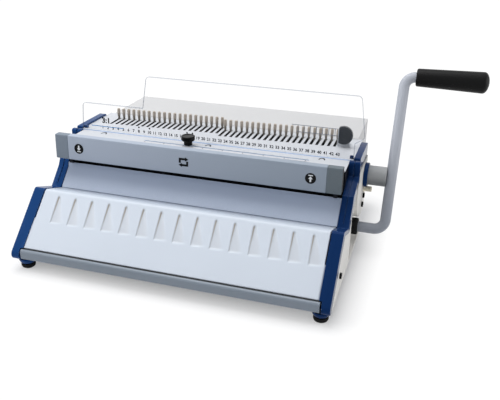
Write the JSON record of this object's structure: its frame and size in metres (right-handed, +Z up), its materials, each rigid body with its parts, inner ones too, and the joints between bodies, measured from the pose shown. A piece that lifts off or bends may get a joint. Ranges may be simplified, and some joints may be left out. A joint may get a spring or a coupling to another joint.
{
  "type": "wire binding machine",
  "caption": "Desk wire binding machine: a motor drives a row of punch pins behind a clear guard, a hand lever draws a front bar back to close wire, and chips fall in a drawer.",
  "frame": {"origin": "on the desk, under the middle of the body's width, below the paper throat's rear wall region", "axes": "+X to the right along the row of pins, +Y to the back, +Z up"},
  "size_m": [0.5856, 0.3875, 0.2521],
  "materials": {
    "blue_trim": "satin deep blue paint",
    "white_panel": "fine satin white moulding",
    "white_deck": "smooth white paint",
    "pale_cover": "pale grey paint, fine texture",
    "rest_sheet": "blue-grey paint",
    "bar_alloy": "satin anodised",
    "cap_grey": "satin grey moulding",
    "steel": "plain machined steel",
    "zinc_sheet": "zinc plated sheet",
    "dark_steel": "blackened steel",
    "brass": "turned brass",
    "rubber": "black rubber",
    "black_plastic": "black moulding",
    "slate_plastic": "dark slate moulding",
    "beige_plastic": "beige moulding",
    "nylon": "natural nylon",
    "clear": "clear acrylic",
    "lever_paint": "satin silver-grey paint",
    "hub_paint": "warm grey paint",
    "motor_case": "dark motor case"
  },
  "bodies": {
    "frame": {"base_pan": "zinc_sheet", "side_plate_left": "zinc_sheet", "side_plate_right": "zinc_sheet", "side_trim_left": "blue_trim", "side_trim_right": "blue_trim", "side_cover_left": "pale_cover", "side_cover_right": "pale_cover", "cover_screws": "dark_steel", "front_panel": "white_panel", "rest_panel": "rest_sheet", "anvil_bar": "dark_steel", "front_deck": "white_deck", "size_scale": "white_panel", "rear_deck": "white_deck", "rear_housing": "pale_cover", "clear_guard": "clear", "guard_clips": "blue_trim", "die_block": "steel", "pin_guide": "steel", "beam_rods": "steel", "tie_rods": "steel", "foot_blocks": "blue_trim", "rubber_feet": "rubber", "lever_bushes": "brass", "hub_ring": "blue_trim", "lever_stop": "pale_cover", "nylon_peg": "nylon", "carriage_guides": "zinc_sheet", "cam_bracket_left": "zinc_sheet", "cam_bracket_right": "zinc_sheet", "gear_motor": "motor_case", "power_inlet": "black_plastic", "switch_bezel": "black_plastic", "drawer_runners": "zinc_sheet", "stop_bracket": "zinc_sheet", "return_springs": "steel"},
    "lever": {"lever_tube": "lever_paint", "lever_grip": "black_plastic", "lever_hub": "hub_paint", "lever_buffer": "rubber", "closing_shaft": "steel", "closing_pinions": "steel"},
    "closer": {"closer_racks": "steel", "closing_bar": "bar_alloy", "bar_end_caps": "cap_grey"},
    "punch": {"punch_beam": "steel", "punch_pins": "steel", "pin_pulls_left": "beige_plastic", "pin_pulls_right": "beige_plastic", "cam_followers": "steel"},
    "cams": {"cam_shaft": "steel", "punch_cams": "dark_steel", "cam_gear": "brass"},
    "drive_pinion": {"motor_pinion": "steel"},
    "size_setting": {"size_knob": "black_plastic", "size_slider": "dark_steel"},
    "stop_setting": {"stop_knob": "slate_plastic"},
    "drawer": {"chip_tray": "zinc_sheet", "tray_front": "bar_alloy"},
    "rocker": {"power_rocker": "black_plastic"}
  },
  "joints": [
    {"name": "lever_swing", "type": "hinge", "parent": "frame", "child": "lever", "pos_m": [0, 0.043, 0.107], "axis": [1, 0, 0], "range_deg": [0, 90]},
    {"name": "closer_slide", "type": "slide", "parent": "frame", "child": "closer", "axis": [0, 1, 0], "range_m": [0, 0.01257]},
    {"name": "cam_turn", "type": "hinge", "parent": "frame", "child": "cams", "pos_m": [0, 0.129, 0.107], "axis": [1, 0, 0], "range_deg": [0, 300]},
    {"name": "punch_slide", "type": "slide", "parent": "frame", "child": "punch", "axis": [0, -1, 0], "range_m": [0, 0.02201], "deforming": ["return_springs"]},
    {"name": "pinion_spin", "type": "hinge", "parent": "frame", "child": "drive_pinion", "pos_m": [0, 0.1515, 0.08019], "axis": [1, 0, 0], "range_deg": [-750.5, 0.5]},
    {"name": "size_slide", "type": "slide", "parent": "frame", "child": "size_setting", "axis": [1, 0, 0], "range_m": [-0.064, 0.171]},
    {"name": "stop_turn", "type": "hinge", "parent": "frame", "child": "stop_setting", "pos_m": [0.18257, 0.042, 0.163], "axis": [0, 1, 0], "range_deg": [0, 180]},
    {"name": "drawer_slide", "type": "slide", "parent": "frame", "child": "drawer", "axis": [0, -1, 0], "range_m": [0, 0.15]},
    {"name": "rocker_tip", "type": "hinge", "parent": "frame", "child": "rocker", "pos_m": [0.15, 0.188, 0.07], "axis": [1, 0, 0], "range_deg": [0, 16]}
  ],
  "couplings": [
    {"joint": "closer_slide", "follows": "lever_swing", "m_per_rad": 0.008},
    {"joint": "punch_slide", "follows": "cam_turn", "m_per_rad": 0.0042017},
    {"joint": "pinion_spin", "follows": "cam_turn", "ratio": -2.5}
  ]
}
